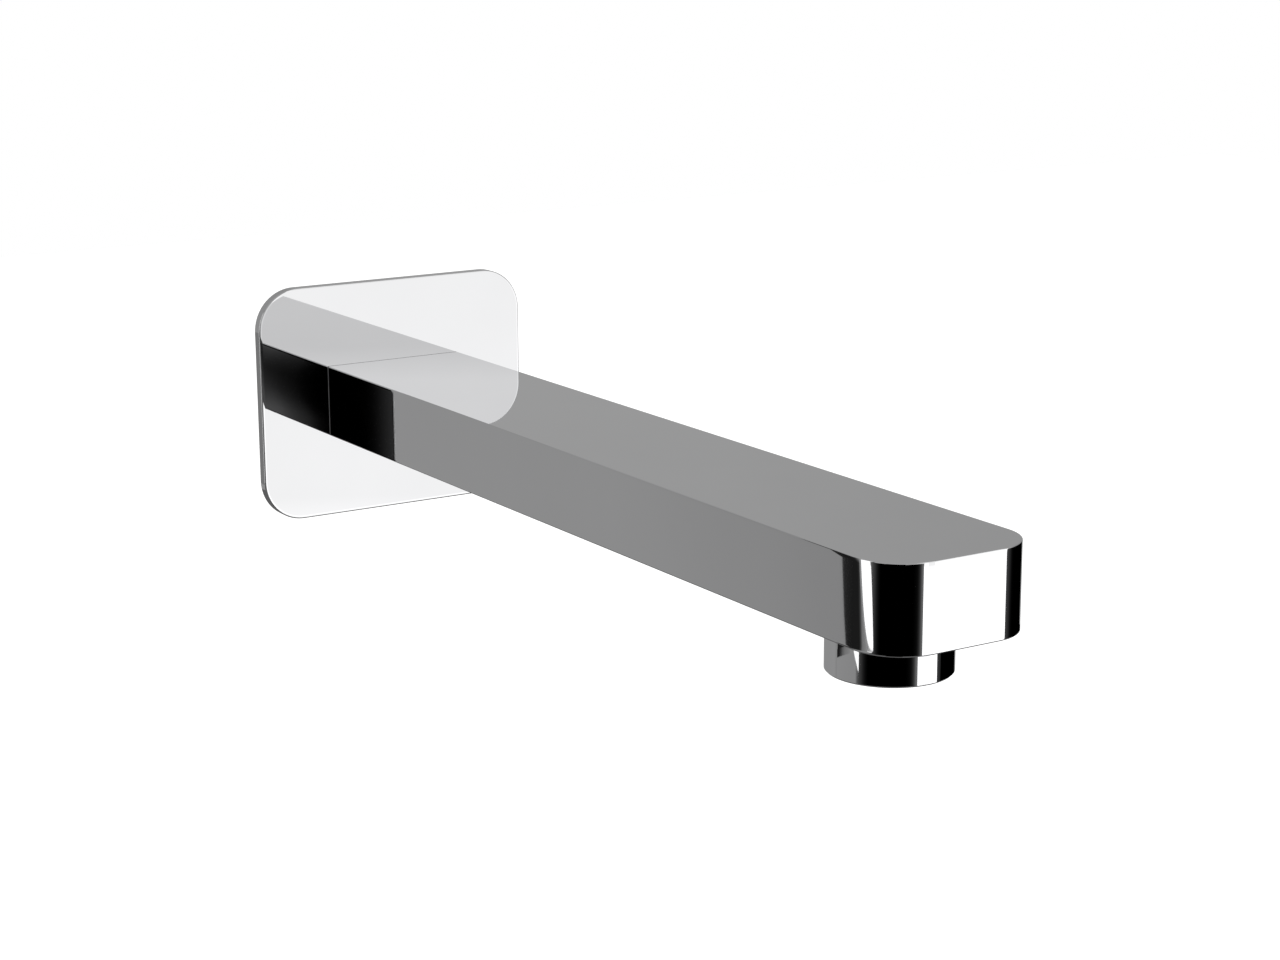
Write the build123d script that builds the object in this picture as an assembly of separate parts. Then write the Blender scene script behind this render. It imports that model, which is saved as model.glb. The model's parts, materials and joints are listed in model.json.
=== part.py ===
import os

from build123d import *

# Wall spout: millimetres, X to the right, Y into the wall, Z up.
# The wall is the plane Y = 0 and the spout points along -Y, so a distance from the wall is -Y.

# Spout body, a straight hollow bar
spout_width = 35.0
spout_height = 17.0
outlet_reach = 200.0        # wall to the axis of the outlet
tip_overhang = 22.0         # axis of the outlet to the front face
tip_corner = 10.0           # upright corners of the front end
body_wall = 2.5             # wall around the waterway
edge_round = 0.25           # softened outer edges

# Wall plate
plate_width = 70.0
plate_height = 56.0
plate_thickness = 2.5
plate_corner = 10.0
plate_edge_round = 0.3

# Tenon on the back of the body, which keeps the plate square
tenon_shoulder = 1.0        # width of the step that bears on the plate
tenon_corner = 2.0
tenon_setback = 0.3         # end of the tenon to the wall
tenon_clearance = 0.15

# Gasket let into the back of the plate
gasket_margin = 4.0         # edge of the plate to the gasket
gasket_width = 5.0
gasket_thickness = 1.0
gasket_clearance = 0.1

# Inlet nipple: G1/2 thread for the wall, plain spigot for the spout
inlet_thread = 20.955
inlet_thread_length = 15.0
inlet_bore = 13.0
inlet_bore_depth = 11.0
inlet_chamfer = 1.0
spigot_diameter = 13.0
spigot_reach = 30.0         # wall to the end of the spigot
spigot_bore = 8.5
spigot_chamfer = 0.8
key_flats = 9.0             # hexagon for the fitting key
key_depth = 6.0
socket_clearance = 0.15     # spigot to the socket in the body
socket_end_room = 3.0       # end of the spigot to the waterway

# O-rings on the spigot
ring_groove_depth = 1.3
ring_clearance = 0.05
ring_side_room = 0.3
ring_distances = {"rear": 17.5, "front": 21.5}

# Grub screw from below
screw_diameter = 4.0
screw_distance = 11.5       # wall to the axis of the screw
screw_recess = 0.1
screw_point = 0.6
screw_key_flats = 2.0
screw_key_depth = 1.5
screw_clearance = 0.1
clamp_groove_depth = 1.2
clamp_groove_room = 0.3
clamp_gap = 0.05            # point of the screw to the bottom of the groove

# Outlet stub under the body
outlet_thread = 22.0
outlet_bore = 18.5
stub_length = 4.0

# Collar of the aerator
collar_diameter = 24.0
collar_drop = 9.5           # underside of the body to the lowest rim
collar_gap = 0.2            # joint under the body
collar_chamfer = 0.3
thread_clearance = 0.1

# Washer and cartridge sleeve, clamped between the stub and the collar's inner shoulder
washer_thickness = 1.5
flange_thickness = 1.5
seat_clearance = 0.3
shell_wall = 1.0
shell_step = 0.6            # depth of the inner ledges
shell_recess = 0.4          # lowest rim of the collar to the sleeve
shell_rise = 2.5            # top of the sleeve above the body's underside
shell_clearance = 0.3
air_slot_width = 2.0
air_slot_height = 2.0
air_slot_count = 8

# Inserts of the cartridge
insert_clearance = 0.1
grid_setback = 0.2
grid_height = 2.0
grid_cell = 1.5             # across the flats of a cell
grid_web = 0.4
screen_thickness = 0.4
screen_pitch = 1.35
screen_mesh = 0.85
spacer_height = 1.2
spacer_wall = 1.0
jet_thickness = 1.5
jet_hole = 1.0
jet_circle = 12.4
jet_count = 12
core_diameter = 6.4
core_height = 2.5
core_flute = 0.9
core_flute_count = 8
regulator_cord = 1.4
regulator_clearance = 0.1
dome_base = 1.0
dome_height = 6.0
dome_wall = 0.8
dome_top = 7.0
dome_slot = 0.8
dome_slot_count = 16

# Places that follow from the sizes above
tip_reach = outlet_reach + tip_overhang
underside = -spout_height / 2
socket_radius = spigot_diameter / 2 + socket_clearance
waterway_start = spigot_reach + socket_end_room
ring_groove_radius = spigot_diameter / 2 - ring_groove_depth
ring_cord = socket_radius - ring_groove_radius - 2 * ring_clearance
clamp_groove_radius = spigot_diameter / 2 - clamp_groove_depth
collar_low = underside - collar_drop
collar_bore = outlet_thread + 2 * thread_clearance
stub_end = underside - stub_length
washer_low = stub_end - washer_thickness
shoulder_height = washer_low - flange_thickness
seat_diameter = collar_bore - 2 * seat_clearance
shell_diameter = outlet_bore - 2 * shell_clearance
shell_bore = shell_diameter - 2 * shell_wall
shell_low = collar_low + shell_recess
shell_top = underside + shell_rise
insert_diameter = shell_bore - 2 * insert_clearance
grid_low = shell_low + grid_setback
screen_lower_low = grid_low + grid_height
spacer_low = screen_lower_low + screen_thickness
screen_upper_low = spacer_low + spacer_height
lower_ledge = screen_upper_low + screen_thickness
dome_low = shell_top - dome_base
upper_ledge = dome_low - jet_thickness


def bar(width, height, corner, near, far):
    # Rounded rectangular bar along the spout between two distances from the wall
    outline = Plane.XZ.offset(near) * RectangleRounded(width, height, corner)
    return extrude(outline, far - near)


def rod(diameter, near, far):
    # Round bar along the spout between two distances from the wall
    return extrude(Plane.XZ.offset(near) * Circle(diameter / 2), far - near)


def hex_rod(flats, near, far):
    # Hexagonal bar along the spout, given across its flats
    outline = Plane.XZ.offset(near) * RegularPolygon(flats / 2, 6, major_radius=False)
    return extrude(outline, far - near)


def post(diameter, low, high):
    # Upright round bar on the axis of the outlet
    return Pos(0, -outlet_reach, low) * extrude(Circle(diameter / 2), high - low)


def tube(outer, inner, low, high):
    # Upright ring on the axis of the outlet
    return post(outer, low, high) - post(inner, low, high)


def plan_bar(width, height, near, far, corner):
    # Bar with the two front corners rounded, as seen from above
    plan = Pos(0, -(near + far) / 2) * Rectangle(width, far - near)
    plan = fillet(plan.vertices().group_by(Axis.Y)[0], corner)
    return extrude(Pos(0, 0, -height / 2) * plan, height)


def spout_body():
    outer = plan_bar(spout_width, spout_height, plate_thickness, tip_reach, tip_corner)
    rear_sides = outer.edges().filter_by(Axis.Z).group_by(Axis.Y)[-1]
    rims = outer.faces().filter_by(Axis.Z).edges()
    outer = fillet(rims + rear_sides, edge_round)
    tenon = bar(
        spout_width - 2 * tenon_shoulder,
        spout_height - 2 * tenon_shoulder,
        tenon_corner,
        tenon_setback,
        plate_thickness + tenon_shoulder,
    )
    stub = post(outlet_thread, stub_end, underside + body_wall)
    waterway = plan_bar(
        spout_width - 2 * body_wall,
        spout_height - 2 * body_wall,
        waterway_start,
        tip_reach - body_wall,
        tip_corner - body_wall,
    )
    socket = rod(2 * socket_radius, tenon_setback, waterway_start)
    mouth = post(outlet_bore, stub_end, 0)
    screw_hole = Pos(0, -screw_distance, underside) * extrude(
        Circle(screw_diameter / 2 + screw_clearance), spout_height / 2
    )
    return outer + tenon + stub - waterway - socket - mouth - screw_hole


def gasket_frame(clearance):
    # Flat frame behind the plate, grown by a clearance on both sides
    outer_margin = gasket_margin - clearance
    inner_margin = gasket_margin + gasket_width + clearance
    outer = bar(
        plate_width - 2 * outer_margin,
        plate_height - 2 * outer_margin,
        plate_corner - outer_margin,
        0,
        gasket_thickness,
    )
    inner = bar(
        plate_width - 2 * inner_margin,
        plate_height - 2 * inner_margin,
        plate_corner - gasket_margin,
        0,
        gasket_thickness,
    )
    return outer - inner


def wall_plate():
    plate = bar(plate_width, plate_height, plate_corner, 0, plate_thickness)
    front_rim = plate.faces().sort_by(Axis.Y)[0].edges()
    plate = fillet(front_rim, plate_edge_round)
    window = bar(
        spout_width - 2 * tenon_shoulder + 2 * tenon_clearance,
        spout_height - 2 * tenon_shoulder + 2 * tenon_clearance,
        tenon_corner + tenon_clearance,
        0,
        plate_thickness,
    )
    return plate - window - gasket_frame(gasket_clearance)


def wall_gasket():
    return gasket_frame(0)


def ring_groove(distance, radius, width):
    # Cutter for a groove around the spigot
    near = distance - width / 2
    far = distance + width / 2
    return rod(spigot_diameter + socket_clearance, near, far) - rod(2 * radius, near, far)


def inlet_nipple():
    thread_end = -inlet_thread_length
    thread = rod(inlet_thread, thread_end, 0)
    thread = chamfer(thread.edges().group_by(Axis.Y)[-1], inlet_chamfer)
    spigot = rod(spigot_diameter, 0, spigot_reach)
    spigot = chamfer(spigot.edges().group_by(Axis.Y)[0], spigot_chamfer)
    nipple = thread + spigot
    nipple -= rod(inlet_bore, thread_end, thread_end + inlet_bore_depth)
    nipple -= rod(spigot_bore, thread_end, spigot_reach)
    nipple -= hex_rod(key_flats, spigot_reach - key_depth, spigot_reach)
    for distance in ring_distances.values():
        nipple -= ring_groove(distance, ring_groove_radius, ring_cord + 2 * ring_side_room)
    nipple -= ring_groove(screw_distance, clamp_groove_radius, screw_diameter + 2 * clamp_groove_room)
    return nipple


def spigot_o_ring(distance):
    ring = Torus((ring_groove_radius + socket_radius) / 2, ring_cord / 2)
    return Pos(0, -distance, 0) * Rot(90, 0, 0) * ring


def grub_screw():
    low = underside + screw_recess
    high = -clamp_groove_radius - clamp_gap
    screw = extrude(Circle(screw_diameter / 2), high - low)
    screw = chamfer(screw.edges().group_by(Axis.Z)[-1], screw_point)
    screw -= extrude(RegularPolygon(screw_key_flats / 2, 6, major_radius=False), screw_key_depth)
    return Pos(0, -screw_distance, low) * screw


def aerator_housing():
    collar = post(collar_diameter, collar_low, underside - collar_gap)
    collar = chamfer(collar.edges().group_by(Axis.Z)[0], collar_chamfer)
    collar -= post(collar_bore, shoulder_height, underside)
    return collar - post(shell_diameter + 2 * shell_clearance, collar_low, shoulder_height)


def aerator_washer():
    return tube(seat_diameter, outlet_bore, washer_low, stub_end)


def cartridge_shell():
    shell = post(shell_diameter, shell_low, shell_top)
    shell += post(seat_diameter, shoulder_height, washer_low)
    shell -= post(shell_bore, shell_low, lower_ledge)
    shell -= post(shell_bore - 2 * shell_step, lower_ledge, upper_ledge)
    shell -= post(shell_bore, upper_ledge, shell_top)
    slot = Pos(shell_diameter / 2, 0, washer_low + air_slot_height / 2) * Box(
        4 * shell_wall, air_slot_width, air_slot_height, align=(Align.CENTER, Align.CENTER, Align.MIN)
    )
    for turn in range(air_slot_count):
        shell -= Pos(0, -outlet_reach, 0) * Rot(0, 0, turn * 360 / air_slot_count) * slot
    return shell


def strainer_dome():
    base_radius = shell_bore / 2 - shell_step - insert_clearance
    cone_place = Pos(0, -outlet_reach, shell_top + dome_height / 2)
    cone = cone_place * Cone(base_radius, dome_top / 2, dome_height)
    hollow = cone_place * Pos(0, 0, -dome_wall) * Cone(
        base_radius - dome_wall, dome_top / 2 - dome_wall, dome_height
    )
    dome = cone - hollow + tube(insert_diameter, 2 * (base_radius - dome_wall), dome_low, shell_top)
    slot = Pos(base_radius, 0, shell_top + dome_height / 2) * Box(
        2 * base_radius - dome_top, dome_slot, dome_height - 2 * dome_wall
    )
    for turn in range(dome_slot_count):
        dome -= Pos(0, -outlet_reach, 0) * Rot(0, 0, turn * 360 / dome_slot_count) * slot
    return dome


def around_axis(count, radius, outline):
    # Copies of an outline on a circle
    return [Rot(0, 0, turn * 360 / count) * Pos(radius, 0) * outline for turn in range(count)]


def outlet_disc(outline, low, thickness):
    # Flat piece on the axis of the outlet
    return Pos(0, -outlet_reach, low) * extrude(outline, thickness)


def jet_plate():
    holes = around_axis(jet_count, jet_circle / 2, Circle(jet_hole / 2))
    return outlet_disc(Circle(insert_diameter / 2) - holes, upper_ledge, jet_thickness)


def regulator_core():
    flutes = around_axis(core_flute_count, core_diameter / 2, Circle(core_flute / 2))
    return outlet_disc(Circle(core_diameter / 2) - flutes, dome_low, core_height)


def regulator_ring():
    ring_radius = core_diameter / 2 + regulator_clearance + regulator_cord / 2
    ring_height = dome_low + regulator_clearance + regulator_cord / 2
    return Pos(0, -outlet_reach, ring_height) * Torus(ring_radius, regulator_cord / 2)


def screen(low):
    # Fine screen: a thin disc with square openings wherever a whole one fits
    limit = shell_bore / 2 - shell_step - screen_mesh
    steps = range(-int(limit // screen_pitch), int(limit // screen_pitch) + 1)
    centres = [(column * screen_pitch, row * screen_pitch) for row in steps for column in steps]
    openings = [
        Pos(x, y) * Rectangle(screen_mesh, screen_mesh)
        for x, y in centres
        if x * x + y * y <= limit * limit
    ]
    return outlet_disc(Circle(insert_diameter / 2) - openings, low, screen_thickness)


def screen_spacer():
    return tube(insert_diameter, insert_diameter - 2 * spacer_wall, spacer_low, screen_upper_low)


def outlet_grid():
    # Honeycomb: rows of hexagonal cells, every other row moved half a pitch
    pitch = grid_cell + grid_web
    row_step = pitch * 3**0.5 / 2
    limit = insert_diameter / 2 - grid_web - grid_cell / 3**0.5
    rows = range(-int(limit // row_step), int(limit // row_step) + 1)
    columns = range(-int(limit // pitch) - 1, int(limit // pitch) + 2)
    centres = [((column + row % 2 / 2) * pitch, row * row_step) for row in rows for column in columns]
    cell = Rot(0, 0, 30) * RegularPolygon(grid_cell / 2, 6, major_radius=False)
    cells = [Pos(x, y) * cell for x, y in centres if x * x + y * y <= limit * limit]
    return outlet_disc(Circle(insert_diameter / 2) - cells, grid_low, grid_height)


parts = {
    "spout_body": spout_body(),
    "wall_plate": wall_plate(),
    "wall_gasket": wall_gasket(),
    "inlet_nipple": inlet_nipple(),
    "grub_screw": grub_screw(),
    "aerator_housing": aerator_housing(),
    "aerator_washer": aerator_washer(),
    "cartridge_shell": cartridge_shell(),
    "strainer_dome": strainer_dome(),
    "jet_plate": jet_plate(),
    "regulator_core": regulator_core(),
    "regulator_ring": regulator_ring(),
    "screen_upper": screen(screen_upper_low),
    "screen_spacer": screen_spacer(),
    "screen_lower": screen(screen_lower_low),
    "outlet_grid": outlet_grid(),
}
for place, distance in ring_distances.items():
    parts["spigot_o_ring_" + place] = spigot_o_ring(distance)

os.makedirs("parts", exist_ok=True)
for name, part in parts.items():
    export_step(part, os.path.join("parts", name + ".step"))
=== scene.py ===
import json
import math

import bmesh
import bpy
import numpy as np
from mathutils import Matrix, Vector


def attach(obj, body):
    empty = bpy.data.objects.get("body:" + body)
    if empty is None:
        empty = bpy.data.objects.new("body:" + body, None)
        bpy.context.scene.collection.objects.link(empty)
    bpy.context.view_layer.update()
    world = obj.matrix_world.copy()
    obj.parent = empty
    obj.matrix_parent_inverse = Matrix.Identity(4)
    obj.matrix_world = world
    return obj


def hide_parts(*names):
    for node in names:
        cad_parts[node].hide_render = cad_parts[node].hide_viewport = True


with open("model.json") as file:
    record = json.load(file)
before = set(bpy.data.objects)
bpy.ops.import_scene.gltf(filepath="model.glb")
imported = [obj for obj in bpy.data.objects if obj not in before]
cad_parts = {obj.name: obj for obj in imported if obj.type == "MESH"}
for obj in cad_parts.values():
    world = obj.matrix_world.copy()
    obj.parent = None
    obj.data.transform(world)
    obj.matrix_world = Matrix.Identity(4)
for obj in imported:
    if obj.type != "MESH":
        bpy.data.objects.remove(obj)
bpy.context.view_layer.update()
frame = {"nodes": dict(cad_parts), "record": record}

mm = 0.001                        # sizes of pieces are in millimetres, Blender's in metres
weldGap = 0.0001 * mm             # points closer than this are one
nodes = frame["nodes"]
print("frame loaded:", len(nodes), "CAD nodes")


# materials

def newMaterial(name):
    material = bpy.data.materials.new(name)
    material.use_nodes = True
    tree = material.node_tree
    tree.nodes.clear()
    output = tree.nodes.new("ShaderNodeOutputMaterial")
    shader = tree.nodes.new("ShaderNodeBsdfPrincipled")
    tree.links.new(shader.outputs[0], output.inputs[0])
    return material, tree, shader


def objectCoords(tree):
    return tree.nodes.new("ShaderNodeTexCoord").outputs["Object"]


def addNoise(tree, vector, scale, detail):
    noise = tree.nodes.new("ShaderNodeTexNoise")
    noise.inputs["Scale"].default_value = scale
    noise.inputs["Detail"].default_value = detail
    tree.links.new(vector, noise.inputs["Vector"])
    return noise.outputs[0]


def stretched(tree, vector, scale):
    mapping = tree.nodes.new("ShaderNodeMapping")
    mapping.inputs["Scale"].default_value = scale
    tree.links.new(vector, mapping.inputs["Vector"])
    return mapping.outputs[0]


def spread(tree, value, low, high):
    ranged = tree.nodes.new("ShaderNodeMapRange")
    ranged.inputs["To Min"].default_value = low
    ranged.inputs["To Max"].default_value = high
    tree.links.new(value, ranged.inputs["Value"])
    return ranged.outputs[0]


def ramp(tree, value, dark, light, span=(0.3, 0.7)):
    colours = tree.nodes.new("ShaderNodeValToRGB")
    for end, place, colour in zip(colours.color_ramp.elements, span, (dark, light)):
        end.position, end.color = place, (*colour, 1)
    tree.links.new(value, colours.inputs[0])
    return colours.outputs[0]


def colourAndGloss(tree, shader, value, look):
    tree.links.new(ramp(tree, value, look["dark"], look["light"]), shader.inputs["Base Color"])
    tree.links.new(spread(tree, value, *look["gloss"]), shader.inputs["Roughness"])


def calc(tree, operation, value, number):
    step = tree.nodes.new("ShaderNodeMath")
    step.operation = operation
    tree.links.new(value, step.inputs[0])
    step.inputs[1].default_value = number
    return step.outputs[0]


def vectorCalc(tree, operation, vector, other=(0, 0, 0)):
    step = tree.nodes.new("ShaderNodeVectorMath")
    step.operation = operation
    tree.links.new(vector, step.inputs[0])
    step.inputs[1].default_value = other
    return step.outputs["Value" if operation == "LENGTH" else "Vector"]


def addBump(tree, shader, height, strength, distance):
    bump = tree.nodes.new("ShaderNodeBump")
    bump.inputs["Strength"].default_value = strength
    bump.inputs["Distance"].default_value = distance
    tree.links.new(height, bump.inputs["Height"])
    tree.links.new(bump.outputs[0], shader.inputs["Normal"])


def chromeFinish(name, roll=None):
    # polished plating: a little uneven in gloss, as a wiped surface is
    look = {
        "dark": (0.839, 0.84, 0.848), "light": (0.855, 0.856, 0.864), "gloss": (0.01, 0.026),
        "cloud": 45.0, "detail": 3.0,
    }
    material, tree, shader = newMaterial(name)
    coords = objectCoords(tree)
    colourAndGloss(tree, shader, addNoise(tree, coords, look["cloud"], look["detail"]), look)
    shader.inputs["Metallic"].default_value = 1.0
    if roll:
        # polishing wears a flat face down towards its edges: past the start of the roll, the
        # drop in metres is the square of the distance over twice the radius
        past = vectorCalc(tree, "ABSOLUTE", vectorCalc(tree, "SUBTRACT", coords, roll["middle"]))
        past = vectorCalc(tree, "SUBTRACT", past, roll["flat"])
        past = vectorCalc(tree, "LENGTH", vectorCalc(tree, "MAXIMUM", past))
        past = calc(tree, "MAXIMUM", calc(tree, "SUBTRACT", past, roll["start"]), 0.0)
        drop = calc(tree, "MULTIPLY", calc(tree, "POWER", past, 2.0), -0.5 / roll["radius"])
        addBump(tree, shader, drop, strength=1.0, distance=1.0)
    return material


def bareBrass():
    look = {
        "dark": (0.6, 0.42, 0.18), "light": (0.78, 0.58, 0.29), "gloss": (0.2, 0.36),
        "cloud": 160.0, "detail": 4.0,
        "feed": 1250.0,           # turning marks a quarter of a millimetre apart
        "waver": 0.6, "strength": 0.35, "depth": 0.01 * mm,
    }
    material, tree, shader = newMaterial("bareBrass")
    coords = objectCoords(tree)
    colourAndGloss(tree, shader, addNoise(tree, coords, look["cloud"], look["detail"]), look)
    shader.inputs["Metallic"].default_value = 1.0
    marks = tree.nodes.new("ShaderNodeTexWave")
    marks.bands_direction = "Y"
    marks.inputs["Scale"].default_value = look["feed"]
    marks.inputs["Distortion"].default_value = look["waver"]
    tree.links.new(coords, marks.inputs["Vector"])
    addBump(tree, shader, marks.outputs["Fac"], look["strength"], look["depth"])
    return material


def gasketFoam():
    look = {
        "dark": (0.042, 0.042, 0.045), "light": (0.078, 0.078, 0.083), "gloss": (0.82, 0.95),
        "cells": 2600.0, "strength": 0.8, "depth": 0.1 * mm,
    }
    material, tree, shader = newMaterial("gasketFoam")
    cells = tree.nodes.new("ShaderNodeTexVoronoi")
    cells.inputs["Scale"].default_value = look["cells"]
    tree.links.new(objectCoords(tree), cells.inputs["Vector"])
    colourAndGloss(tree, shader, cells.outputs["Distance"], look)
    addBump(tree, shader, cells.outputs["Distance"], look["strength"], look["depth"])
    return material


def sealRubber():
    look = {
        "dark": (0.018, 0.018, 0.019), "light": (0.034, 0.034, 0.036), "gloss": (0.4, 0.58),
        "grain": 1800.0, "detail": 3.0, "strength": 0.3, "depth": 0.03 * mm,
    }
    material, tree, shader = newMaterial("sealRubber")
    grain = addNoise(tree, objectCoords(tree), look["grain"], look["detail"])
    colourAndGloss(tree, shader, grain, look)
    addBump(tree, shader, grain, look["strength"], look["depth"])
    return material


def stainlessSteel():
    look = {
        "dark": (0.52, 0.51, 0.49), "light": (0.63, 0.62, 0.6), "gloss": (0.2, 0.36),
        "grain": 900.0, "detail": 4.0, "strength": 0.15, "depth": 0.01 * mm,
        "stretch": (1.0, 0.15, 1.0),
    }
    material, tree, shader = newMaterial("stainlessSteel")
    along = stretched(tree, objectCoords(tree), look["stretch"])
    grain = addNoise(tree, along, look["grain"], look["detail"])
    colourAndGloss(tree, shader, grain, look)
    shader.inputs["Metallic"].default_value = 1.0
    addBump(tree, shader, grain, look["strength"], look["depth"])
    return material


def cartridgePlastic():
    look = {
        "dark": (0.71, 0.72, 0.715), "light": (0.77, 0.78, 0.775), "gloss": (0.34, 0.5),
        "grain": 700.0, "detail": 5.0, "strength": 0.2, "depth": 0.04 * mm,
    }
    material, tree, shader = newMaterial("cartridgePlastic")
    grain = addNoise(tree, objectCoords(tree), look["grain"], look["detail"])
    colourAndGloss(tree, shader, grain, look)
    addBump(tree, shader, grain, look["strength"], look["depth"])
    return material


# where each polished face starts to roll off: middle and half sizes of its flat part, in metres,
# and the distance from that part; 1 stands for a direction without an edge
edgeRolls = {
    "spout_body": {"middle": (0, 0, -0.15 * mm), "flat": (1, 1, 0), "start": 7.8 * mm, "radius": 20 * mm},
    "wall_plate": {"middle": (0, 0, 0), "flat": (25 * mm, 1, 18 * mm), "start": 9.2 * mm, "radius": 16 * mm},
}
finishes = {
    "chrome_finish": chromeFinish("chromeFinish"),
    "bare_brass": bareBrass(),
    "gasket_foam": gasketFoam(),
    "seal_rubber": sealRubber(),
    "stainless_steel": stainlessSteel(),
    "cartridge_plastic": cartridgePlastic(),
}
for row in frame["record"]["subparts"]:
    name = row["node"]
    finish = finishes[row["material_slot"]]
    if name in edgeRolls:
        finish = chromeFinish("chromeFinish_" + name, edgeRolls[name])
    nodes[name].data.materials.clear()
    nodes[name].data.materials.append(finish)
print("materials made:", ", ".join(finishes))


# pieces

def gridMesh(name, points, joinRows=False, joinColumns=False, weld=False):
    # sheets through grids of points, rows by columns; a joined side meets the opposite one
    rows, columns = points.shape[-3:-1]
    index = np.arange(points.size // 3).reshape(-1, rows, columns)
    if joinRows:
        index = np.concatenate([index, index[:, :1]], 1)
    if joinColumns:
        index = np.concatenate([index, index[:, :, :1]], 2)
    corners = [index[:, :-1, :-1], index[:, :-1, 1:], index[:, 1:, 1:], index[:, 1:, :-1]]
    faces = np.stack(corners, -1).reshape(-1, 4)
    flat = points.reshape(-1, 3)
    if joinColumns:
        # signed volume of the closed shape; a negative one is inside out
        a, b, c, d = (flat[faces[:, k]] for k in range(4))
        volume = np.einsum("ij,ij->", a, np.cross(b, c)) + np.einsum("ij,ij->", a, np.cross(c, d))
        faces = faces[:, ::-1] if volume < 0 else faces
    mesh = bpy.data.meshes.new(name)
    mesh.from_pydata(flat, [], faces)
    if weld:
        work = bmesh.new()
        work.from_mesh(mesh)
        bmesh.ops.remove_doubles(work, verts=work.verts, dist=weldGap)
        work.to_mesh(mesh)
        work.free()
    mesh.update()
    piece = bpy.data.objects.new(name, mesh)
    bpy.context.scene.collection.objects.link(piece)
    return piece


def addPiece(piece, slotName, replaced, sharpAngle=40):
    # edges that turn by more than the sharp angle, in degrees, stay crisp
    piece.data.polygons.foreach_set("use_smooth", np.ones(len(piece.data.polygons), dtype=bool))
    piece.data.set_sharp_from_angle(angle=math.radians(sharpAngle))
    piece.data.materials.append(finishes[slotName])
    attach(piece, "root")
    if replaced:
        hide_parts(*replaced)


def turned(places, radii, columns, axis, centre):
    # a profile of places along an axis and radii, turned around it; a radius may vary with the angle
    angle = np.arange(columns) * 2 * math.pi / columns
    radii = np.broadcast_to(radii, (len(places), columns))
    along = np.broadcast_to(np.asarray(places)[:, None], radii.shape)
    across, up = radii * np.cos(angle), radii * np.sin(angle)
    order = {"Y": (across, along, up), "Z": (across, up, along)}[axis]
    return np.stack(order, -1) * mm + np.array(centre) * mm


def roundRows(pairs, columns):
    # places and radii of plain turned rows, the same all round
    places, radii = np.array(pairs, dtype=float).T
    return places, np.tile(radii[:, None], columns)


def hexRadius(flats, columns):
    # distance from a hexagon's centre to its side at each angle
    angle = np.arange(columns) * 2 * math.pi / columns
    return flats / 2 / np.cos((angle + math.pi / 6) % (math.pi / 3) - math.pi / 6)


def threadRadius(places, radius, pitch, depth, columns):
    # rounded thread: the depth follows a cosine that moves on one pitch in each turn
    angle = np.arange(columns) / columns
    phase = np.asarray(places)[:, None] / pitch - angle
    return radius - depth * (0.5 - 0.5 * np.cos(2 * math.pi * phase))


def fadeIn(values, start, end):
    # nought before the start, one past the end, and a smooth step between them
    t = np.clip((np.asarray(values) - start) / (end - start), 0, 1)
    return t * t * (3 - 2 * t)


def makeNipple():
    # one profile turned about the inlet's axis: over the thread, the shoulder and the spigot with
    # its grooves, then back through the hexagon key and the bore
    size = {
        "threadRadius": 10.4775, "pitch": 1.814, "depth": 1.16, "threadLength": 15.0, "chamfer": 1.0,
        "runout": (0.5, 2.6),     # where the thread leaves the shoulder
        "spigotRadius": 6.5, "spigotReach": 30.0, "spigotChamfer": 0.8, "edgeBreak": 0.15,
        "grooves": [(9.2, 13.8, 5.3), (16.525, 18.475, 5.2), (20.525, 22.475, 5.2)],
        "keyFlats": 9.0, "keyDepth": 6.0, "bore": 4.25, "inletBore": 6.5, "inletDepth": 11.0,
        "columns": 144, "rowStep": 0.07,
    }
    end, edge, spigot = size["threadLength"], size["edgeBreak"], size["spigotRadius"]
    columns = size["columns"]
    threadPlaces = np.arange(end, 2 * edge, -size["rowStep"])
    depth = size["depth"] * fadeIn(threadPlaces, *size["runout"])[:, None]
    thread = threadRadius(threadPlaces, size["threadRadius"], size["pitch"], depth, columns)
    cone = size["threadRadius"] - size["chamfer"] + (end - threadPlaces)[:, None]
    thread = np.minimum(thread, cone)
    before = [(end - 2 * edge, size["inletBore"]), (end, size["inletBore"] + 2 * edge)]
    after = [(edge, size["threadRadius"]), (0, size["threadRadius"] - edge), (0, spigot)]
    for near, far, bottom in size["grooves"]:
        after += [(-near + edge, spigot), (-near, spigot - edge), (-near, bottom)]
        after += [(-far, bottom), (-far, spigot - edge), (-far - edge, spigot)]
    tipPlace = -size["spigotReach"]
    after += [(tipPlace + size["spigotChamfer"], spigot), (tipPlace, spigot - size["spigotChamfer"])]
    keyPlaces = [tipPlace, tipPlace + size["keyDepth"]]
    key = np.tile(hexRadius(size["keyFlats"], columns), (2, 1))
    step = end - size["inletDepth"]
    inside = [(keyPlaces[1], size["bore"]), (step, size["bore"]), (step, size["inletBore"])]
    stretches = [
        roundRows(before, columns), (threadPlaces, thread), roundRows(after, columns),
        (keyPlaces, key), roundRows(inside, columns),
    ]
    places, radii = (np.concatenate(rows) for rows in zip(*stretches))
    points = turned(places, radii, columns, "Y", (0, 0, 0))
    piece = gridMesh("inletNipple", points, joinRows=True, joinColumns=True)
    addPiece(piece, "bare_brass", ["inlet_nipple"])


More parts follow.
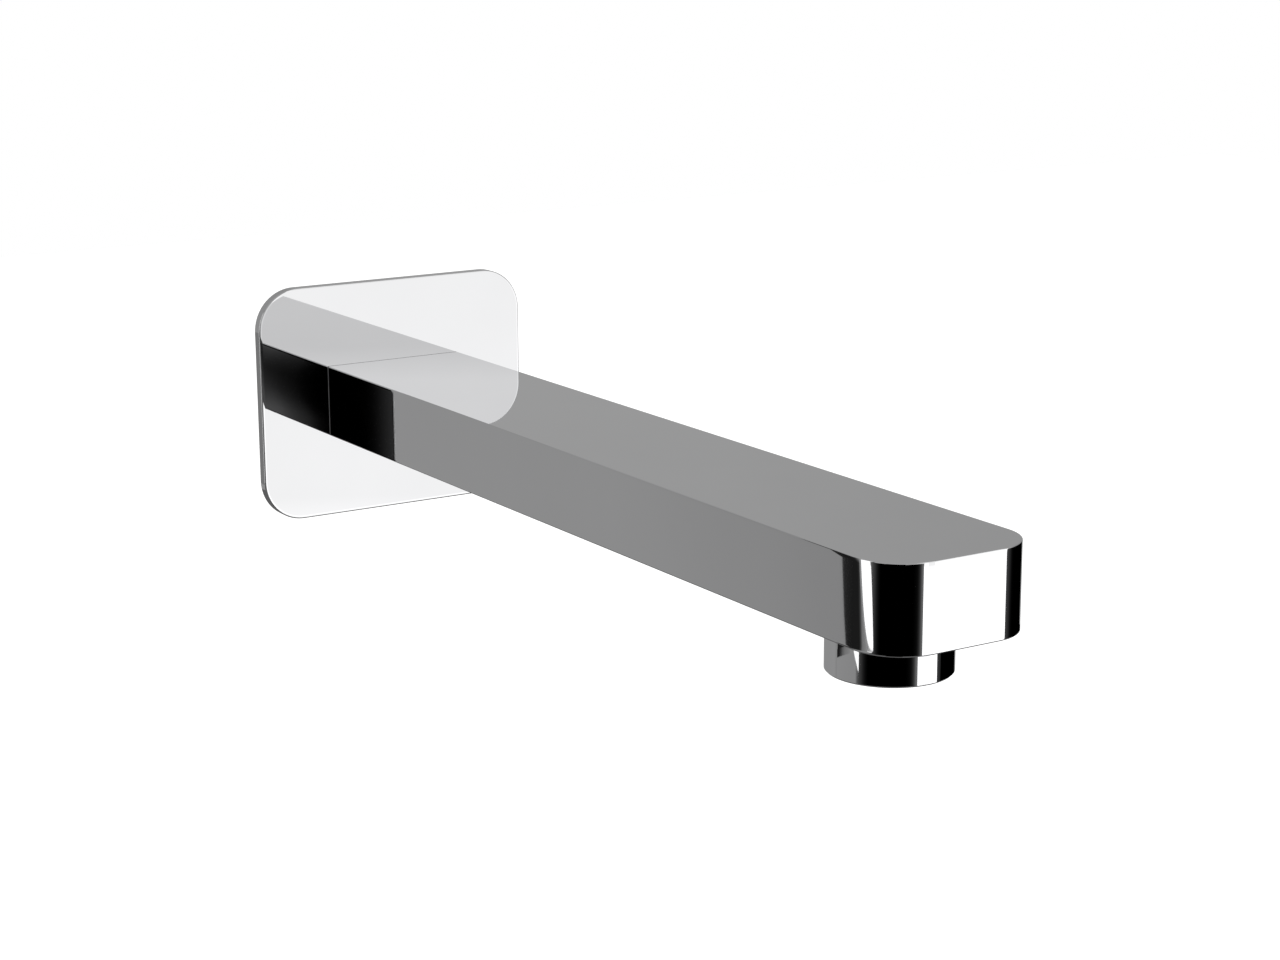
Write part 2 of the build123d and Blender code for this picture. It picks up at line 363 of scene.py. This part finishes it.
def makeGrubScrew():
    # one profile turned about the screw's axis, from the drilled point in the hexagon key, down to
    # the rim and up over the thread to the flat end
    size = {
        "radius": 2.0, "pitch": 0.7, "depth": 0.42, "low": -8.4, "high": -5.35, "distance": 11.5,
        "point": 0.6, "rim": 0.25, "keyFlats": 2.0, "keyDepth": 1.5, "drillPoint": 0.4,
        "columns": 72, "rowStep": 0.03,
    }
    columns, low, high = size["columns"], size["low"], size["high"]
    places = np.arange(low, high, size["rowStep"])
    places[-1] = high
    thread = threadRadius(places, size["radius"], size["pitch"], size["depth"], columns)
    lowCone = size["radius"] - size["rim"] + (places - low)[:, None]
    highCone = size["radius"] - size["point"] + (high - places)[:, None]
    thread = np.minimum(thread, np.minimum(lowCone, highCone))
    floor = low + size["keyDepth"]
    key = hexRadius(size["keyFlats"], columns)
    pole = np.zeros((1, columns))
    allPlaces = np.concatenate([[floor + size["drillPoint"], floor, low], places, [high]])
    allRadii = np.concatenate([pole, np.tile(key, (2, 1)), thread, pole])
    points = turned(allPlaces, allRadii, columns, "Z", (0, -size["distance"], 0))
    piece = gridMesh("grubScrew", points, joinColumns=True, weld=True)
    addPiece(piece, "stainless_steel", ["grub_screw"])


def superSection(halfWidth, halfHeight, power, count):
    # rounded section: a superellipse, whose higher powers come nearer to a rectangle
    angle = np.arange(count) * 2 * math.pi / count
    c, s = np.cos(angle), np.sin(angle)
    reach = (np.abs(c) ** power + np.abs(s) ** power) ** (-1 / power)
    return halfWidth * reach * c, halfHeight * reach * s


def makeSealRings():
    # each ring is a section carried round an axis: radius, half width and half height, place
    spigotRing = {"axis": "Y", "radius": 5.925, "half": (0.675, 0.675), "power": 2.0}
    rings = {
        "spigotRingRear": {"node": "spigot_o_ring_rear", "centre": (0, -17.5, 0), **spigotRing},
        "spigotRingFront": {"node": "spigot_o_ring_front", "centre": (0, -21.5, 0), **spigotRing},
        "regulatorRing": {
            "node": "regulator_ring", "centre": (0, -200, -6.2),
            "axis": "Z", "radius": 4.0, "half": (0.7, 0.7), "power": 2.0,
        },
        "aeratorWasher": {
            "node": "aerator_washer", "centre": (0, -200, -13.25),
            "axis": "Z", "radius": 10.025, "half": (0.775, 0.75), "power": 9.0,
        },
    }
    sectionPoints, columns = 40, 120
    for name, ring in rings.items():
        out, along = superSection(*ring["half"], ring["power"], sectionPoints)
        radii = (ring["radius"] + out)[:, None]
        points = turned(along, radii, columns, ring["axis"], ring["centre"])
        piece = gridMesh(name, points, joinRows=True, joinColumns=True)
        addPiece(piece, "seal_rubber", [ring["node"]], sharpAngle=60)


def roundedFrame(halfWidth, halfHeight, corner, count):
    # outline of a rounded rectangle: each corner's arc, with the straight runs divided evenly
    turn = np.linspace(0, math.pi / 2, count)
    arcs = []
    for quarter, (sx, sz) in enumerate([(1, 1), (-1, 1), (-1, -1), (1, -1)]):
        angle = turn + quarter * math.pi / 2
        across = sx * (halfWidth - corner) + corner * np.cos(angle)
        up = sz * (halfHeight - corner) + corner * np.sin(angle)
        arcs.append(np.stack([across, up], -1))
    runs = []
    share = np.linspace(0, 1, count, endpoint=False)[1:, None]
    for quarter in range(4):
        start, end = arcs[quarter][-1], arcs[(quarter + 1) % 4][0]
        runs.append(np.concatenate([arcs[quarter], start + share * (end - start)]))
    return np.concatenate(runs)


def makeGasket():
    # outer and inner: half width, half height and corner radius of the frame's two outlines
    size = {
        "outer": (31.0, 24.0, 6.0), "inner": (26.0, 19.0, 6.0), "thickness": 1.0, "power": 7.0,
        "cornerPoints": 16, "sectionPoints": 36,
    }
    outer = roundedFrame(*size["outer"], size["cornerPoints"])
    inner = roundedFrame(*size["inner"], size["cornerPoints"])
    # the section lies between the two outlines: share runs across the frame, depth through it
    share, depth = superSection(0.5, size["thickness"] / 2, size["power"], size["sectionPoints"])
    flat = inner + (share[:, None, None] + 0.5) * (outer - inner)
    depth = np.broadcast_to(depth[:, None] - size["thickness"] / 2, flat.shape[:2])
    points = np.stack([flat[..., 0], depth, flat[..., 1]], -1) * mm
    piece = gridMesh("wallGasket", points, joinRows=True, joinColumns=True)
    addPiece(piece, "gasket_foam", ["wall_gasket"], sharpAngle=60)


def makeJointShadeBead():
    # thin dark rubber seal in the groove where the body's softened rear edge meets the plate, also painted
    # shade for
    # the gap there: inset from the body's outline and distance from the plate, for each corner of its
    # section
    size = {
        "half": (17.5, 8.5), "corner": 0.25, "plateFront": 2.5, "cornerPoints": 8,
        "section": [(0.006, 0.002), (0.006, 0.19), (0.1, 0.045), (0.1, 0.002)],
    }
    halfWidth, halfHeight = size["half"]
    loops = []
    for inset, out in size["section"]:
        corner = size["corner"] - inset
        loop = roundedFrame(halfWidth - inset, halfHeight - inset, corner, size["cornerPoints"])
        depth = np.full(len(loop), -size["plateFront"] - out)
        loops.append(np.stack([loop[:, 0], depth, loop[:, 1]], -1))
    # the bead's dark rubber is painted shade: it draws the shadow line of the joint's gap
    piece = gridMesh("jointShadeBead", np.stack(loops) * mm, joinRows=True, joinColumns=True)
    addPiece(piece, "seal_rubber", [])


def makeScreens():
    size = {"radius": 7.85, "wire": 0.1, "pitch": 0.5, "distance": 200.0, "samples": 120, "sides": 6}
    middles = {"screenUpper": ("screen_upper", -13.6), "screenLower": ("screen_lower", -15.2)}
    count = int((size["radius"] - size["wire"]) // size["pitch"])
    wires = np.arange(-count, count + 1)
    offset = wires * size["pitch"]
    half = np.sqrt(size["radius"] ** 2 - (np.abs(offset) + size["wire"]) ** 2)
    # along a wire: the height waves over and under the crossing wires, one pitch each
    along = np.linspace(-1, 1, size["samples"])
    run = half[:, None] * along
    wave = size["wire"] * np.cos(math.pi * (run / size["pitch"] + wires[:, None]))
    angle = np.arange(size["sides"]) * 2 * math.pi / size["sides"]
    thick = np.where(np.abs(along) < 1, size["wire"], 0.0)[None, :, None]
    side = offset[:, None, None] + thick * np.cos(angle)
    height = wave[:, :, None] + thick * np.sin(angle)
    run = np.broadcast_to(run[:, :, None], side.shape)
    warp = np.stack([run, side, height], -1)
    weft = np.stack([side, run, -height], -1)[..., ::-1, :]
    for name, (node, middle) in middles.items():
        points = np.concatenate([warp, weft]) + np.array([0, -size["distance"], middle])
        piece = gridMesh(name, points * mm, joinColumns=True, weld=True)
        addPiece(piece, "stainless_steel", [node], sharpAngle=80)


makeNipple()
makeGrubScrew()
makeSealRings()
makeGasket()
makeJointShadeBead()
makeScreens()
print("pieces made: nipple, grub screw, seals, gasket, joint shade bead and screens")


# stage

stageSizes = {
    "floorDrop": 3.0,
    "floorHalf": 20.0,
    "floorPoints": 9,
    "floorColour": (0.93, 0.93, 0.925),
    "floorRoughness": 0.9,
    "floorGlow": 0.45,                      # only where the floor is seen as background
    "tentCentre": (-0.0125, -0.212, -0.01),
    "cardPoints": 121,
    "worldLevel": 0.8,
}


def backgroundRays(tree):
    # one where the camera, a mirror or a clear piece looks, nought where light is gathered
    path = tree.nodes.new("ShaderNodeLightPath")
    total = path.outputs["Is Camera Ray"]
    for name in ("Is Glossy Ray", "Is Transmission Ray"):
        larger = tree.nodes.new("ShaderNodeMath")
        larger.operation = "MAXIMUM"
        tree.links.new(total, larger.inputs[0])
        tree.links.new(path.outputs[name], larger.inputs[1])
        total = larger.outputs[0]
    return total


def makeWorld():
    world = bpy.data.worlds.new("studio")
    world.use_nodes = True
    tree = world.node_tree
    tree.nodes.clear()
    output = tree.nodes.new("ShaderNodeOutputWorld")
    mix = tree.nodes.new("ShaderNodeMixShader")
    soft = tree.nodes.new("ShaderNodeBackground")
    soft.inputs["Color"].default_value = (1, 1, 1, 1)
    soft.inputs["Strength"].default_value = stageSizes["worldLevel"]
    white = tree.nodes.new("ShaderNodeBackground")
    white.inputs["Color"].default_value = (1, 1, 1, 1)
    tree.links.new(backgroundRays(tree), mix.inputs[0])
    tree.links.new(soft.outputs[0], mix.inputs[1])
    tree.links.new(white.outputs[0], mix.inputs[2])
    tree.links.new(mix.outputs[0], output.inputs[0])
    bpy.context.scene.world = world


def makeFloor():
    # level grid, as far below the spout as floorDrop says
    line = np.linspace(-stageSizes["floorHalf"], stageSizes["floorHalf"], stageSizes["floorPoints"])
    across, along = np.meshgrid(line, line)
    points = np.stack([across, along, np.full_like(across, -stageSizes["floorDrop"])], -1)
    floor = gridMesh("floor", points)
    material, tree, shader = newMaterial("paleFloor")
    shader.inputs["Base Color"].default_value = (*stageSizes["floorColour"], 1)
    shader.inputs["Roughness"].default_value = stageSizes["floorRoughness"]
    shader.inputs["Emission Color"].default_value = (1, 1, 1, 1)
    glow = spread(tree, backgroundRays(tree), 0.0, stageSizes["floorGlow"])
    tree.links.new(glow, shader.inputs["Emission Strength"])
    floor.data.materials.append(material)


def cardMaterial():
    # glows as bright as the attribute that each card's points carry
    material = bpy.data.materials.new("studioCard")
    material.use_nodes = True
    tree = material.node_tree
    tree.nodes.clear()
    output = tree.nodes.new("ShaderNodeOutputMaterial")
    glow = tree.nodes.new("ShaderNodeEmission")
    level = tree.nodes.new("ShaderNodeAttribute")
    level.attribute_name = "level"
    tree.links.new(level.outputs["Fac"], glow.inputs["Strength"])
    tree.links.new(glow.outputs[0], output.inputs[0])
    material.cycles.emission_sampling = "NONE"
    return material


# Reflector cards and flags around the spout, as seen from its tip. Headings are degrees from
# the wall's normal to the right, heights are degrees above level. left and right give a card's
# edges, as one heading or as pairs of height and heading, and reach its distance in metres.
# across gives its brightness by heading, up a factor by height. lean moves across with height,
# slope tilts height with heading, as far as slopeEnd. The flags closest to the tip darken its
# corners alone, so that the long sides stay bright from elsewhere.
allRound = {"left": -180, "right": 180}
flagBorder = [(-16.3, -37.43), (-14.7, -37.31), (-11.6, -37.16)]
stripLevel = 1.3
cards = {
    "greyBackdrop": {
        "low": -26, "high": 32, "left": -37.6, "right": 112, "reach": 6.1,
        "across": [(-36.8, 0.255), (-35.6, 0.27), (-31.4, 0.302), (-27, 0.304), (10, 0.285), (20, 0.3),
                   (26.5, 0.356), (33.5, 0.349), (42, 0.32), (75, 0.3)],
    },
    "plateSideCard": {
        "low": -15.8, "high": -7, "left": -24.4, "right": -20, "reach": 6.05,
        "across": [(-24.4, 0.26), (-23.9, 0.2), (-21, 0.2), (-20, 0.26)],
    },
    "ceilingCard": {"low": 30, "high": 90, **allRound, "reach": 6.4, "across": 0.35},
    "skyCard": {
        "low": -6, "high": 31, **allRound, "reach": 6.3,
        "across": [(-180, 0.5), (-90, 0.36), (90, 0.36), (180, 0.5)],
    },
    "underCard": {"low": -90, "high": -19.5, **allRound, "reach": 2.7, "across": 0.12},
    "darkFlag": {
        "low": -9, "high": 32, "left": -55, "right": -37.16, "reach": 0.3,
        "across": [(-53, 0.18), (-44.5, 0.0122)],
    },
    "darkFlagLow": {
        "low": -16.95, "high": -9, "reach": 0.3,
        "left": [(-11.5, -55), (-16.5, -77)], "leftBend": 1.5, "right": flagBorder,
        "across": [(-70, 0.26), (-60, 0.18), (-51.5, 0.0122)],
        "lean": [(-16.9, -4.5), (-16.3, -6.5), (-14.2, -2.4), (-12.3, 0), (-9, 7)],
    },
    "flagEdge": {
        "low": -16.9, "high": 0, "left": -38.2, "right": flagBorder, "reach": 0.299,
        "across": [(-37.8, 0.0115), (-37.55, 0.0155), (-37.2, 0.0215)],
    },
    "collarFlag": {
        "low": -17.42, "high": -16.95, "left": -68, "right": -36.6, "reach": 0.3,
        "across": [(-68, 0.254), (-56, 0.19), (-50, 0.11), (-41.4, 0.0135), (-39, 0.0114)],
    },
    "stripPanel": {
        "low": -15, "high": 32, "reach": 5.9, "across": stripLevel,
        "left": [(-15, -82.3), (-14.9, -82)], "right": -59,
    },
    "stripPanelLow": {
        "low": -17.04, "high": -15, "reach": 5.9, "across": stripLevel,
        "left": [(-15, -82.3), (-16.9, -91)], "leftBend": 0.72,
        "right": [(-17.04, -90.9), (-15, -59)], "rightBend": 0.4,
    },
    "stripCollar": {
        "low": -17.58, "high": -17.07, "reach": 5.9, "across": stripLevel,
        "left": -87.4, "right": [(-17.58, -86.6), (-17.12, -77.4)],
    },
    "greyLowCard": {
        "low": -26, "high": 32, "left": -91, "right": -36.8, "reach": 6.2,
        "across": [(-91, 0.05), (-86, 0.27), (-36.8, 0.29)],
    },
    "frontFlag": {
        "low": -21, "high": -5, "left": -193, "right": -149.5, "reach": 6.05,
        "across": [(-193, 0.2), (-189, 0.118), (-180, 0.004), (-171, 0)],
    },
    "frontFlagSide": {
        "low": -21, "high": -5, "left": -126.5, "right": -81, "reach": 6.05,
        "across": [(-105, 0), (-102, 0.002), (-93, 0.03), (-86, 0.083), (-81, 0.28)],
    },
    "frontFlagNear": {
        "low": -45, "high": 22.6, "left": -158, "right": -122, "reach": 0.048, "across": 0,
    },
    "leftFill": {
        "low": -22, "high": -4, "left": -152, "right": -124, "reach": 6.25, "across": 0.3,
    },
    "plateGlow": {
        "low": -13.4, "high": -9.4, "left": -164, "right": -153.6, "reach": 6.0,
        "across": [(-164, 0.6), (-156.2, 1.1), (-155.4, 1), (-154.62, 0.23), (-154.26, 0.02), (-154.09, 0)],
        "up": [(-12.9, 0), (-12.4, 0.08), (-11.83, 0.08), (-11.28, 0.026), (-10.88, 0.013), (-10.27, 0.07),
               (-9.7, 0.07), (-9.4, 0)],
        "lean": [(-11.67, 0.32), (-11.28, 0), (-10.69, 0), (-10.24, 0.25)],
        "slope": (-155.42, -0.42), "slopeEnd": -156.2,
    },
    "plateGlowRight": {
        "low": -14.2, "high": -10.4, "left": -152.9, "right": -151, "reach": 6.0,
        "across": [(-152.9, 0), (-152.47, 0.012), (-152.2, 0.031), (-151.9, 0.041), (-151, 0.01)],
        "up": [(-14.2, 0), (-13.6, 1), (-11, 1), (-10.4, 0)],
    },
    "frontPanel": {
        "low": -40, "high": 60, "left": 126, "right": 167, "reach": 5.95,
        "across": [(146.5, 1.25), (147.5, 1.045), (156.5, 1.045), (157.5, 1.25)],
        "up": [(-15.06, 1.2), (-14.9, 1), (-13, 1), (-9, 0.985), (3, 0.985), (8, 0.69), (11, 0.681),
               (11.25, 0.808), (60, 0.82)],
    },
    "rightFlag": {
        "low": -21, "high": -5, "left": 102, "right": 127, "reach": 6.0,
        "across": [(102, 0), (108, 0.0007), (117, 0.02), (127, 0.07)],
    },
    "rightFlagNear": {
        "low": -45, "high": 22.6, "reach": 0.048, "across": 0,
        "left": [(-5.6, 68.6), (-5.2, 85)], "right": 108,
    },
}


def asPairs(value):
    # one number holds everywhere
    return value if isinstance(value, list) else [(0, value)]


def byPlace(value, place):
    # straight line between the pairs of place and value on either side
    return np.interp(place, *np.array(asPairs(value), dtype=float).T)


def brightness(value, place):
    # as byPlace, but in equal ratios as light falls off, down to a last trace
    trace = 0.001
    pairs = [(spot, math.log(level + trace)) for spot, level in asPairs(value)]
    return np.exp(byPlace(pairs, place)) - trace


def cardEdge(card, side, height):
    # heading of an edge by height; a bent one leaves its first point with a power of the share
    if side + "Bend" not in card:
        return byPlace(card[side], height)
    (start, first), (end, last) = card[side]
    share = np.clip((height - start) / (end - start), 0, 1)
    return first + (last - first) * share ** card[side + "Bend"]


def makeCard(name, card, material):
    # heading runs evenly from the left edge to the right one, height from low to high, on a sphere
    shares = np.linspace(0, 1, stageSizes["cardPoints"])
    u, v = np.meshgrid(shares, shares)
    height = card["low"] + v * (card["high"] - card["low"])
    left, right = cardEdge(card, "left", height), cardEdge(card, "right", height)
    heading = left + u * (right - left)
    slopeStart, slope = card.get("slope", (0, 0))
    sloping = np.maximum(heading, card.get("slopeEnd", -math.inf))
    tilted = height - slope * (sloping - slopeStart)
    bright = brightness(card["across"], heading - byPlace(card.get("lean", 0), tilted))
    bright *= brightness(card.get("up", 1), tilted)
    turn, rise = np.radians(heading), np.radians(height)
    way = np.stack([np.sin(turn) * np.cos(rise), np.cos(turn) * np.cos(rise), np.sin(rise)], -1)
    piece = gridMesh(name, way * card["reach"] + np.array(stageSizes["tentCentre"]))
    piece.data.attributes.new("level", "FLOAT", "POINT").data.foreach_set("value", bright.ravel())
    piece.data.materials.append(material)
    piece.visible_camera = False
    piece.visible_diffuse = False
    piece.visible_shadow = False


def makeCamera():
    view = {
        "place": (-0.28195, -0.562586, 0.12635), "heading": 32.19, "tilt": -13.374, "roll": 0.263,
        "lens": 73.44, "sensor": 36.0,
    }
    data = bpy.data.cameras.new("camera")
    data.lens, data.sensor_width = view["lens"], view["sensor"]
    camera = bpy.data.objects.new("camera", data)
    # an unturned camera looks straight down, so 90 degrees bring it level
    turn = (
        Matrix.Rotation(-math.radians(view["heading"]), 4, "Z")
        @ Matrix.Rotation(math.radians(90 + view["tilt"]), 4, "X")
        @ Matrix.Rotation(-math.radians(view["roll"]), 4, "Z")
    )
    camera.matrix_world = Matrix.Translation(view["place"]) @ turn
    bpy.context.scene.collection.objects.link(camera)
    bpy.context.scene.camera = camera


def makeLamp():
    lamp = {"place": (-0.6, -0.9, 1.3), "size": 1.0, "watts": 14.0}
    data = bpy.data.lights.new("softLamp", "AREA")
    data.size, data.energy = lamp["size"], lamp["watts"]
    softLamp = bpy.data.objects.new("softLamp", data)
    aim = Vector(lamp["place"]).to_track_quat("Z", "Y")
    softLamp.matrix_world = Matrix.Translation(lamp["place"]) @ aim.to_matrix().to_4x4()
    softLamp.visible_glossy = False
    bpy.context.scene.collection.objects.link(softLamp)


bpy.context.scene.view_settings.view_transform = "Standard"
makeWorld()
makeFloor()
cardLook = cardMaterial()
for name, card in cards.items():
    makeCard(name, card, cardLook)
makeCamera()
makeLamp()
print("stage set:", len(cards), "cards")
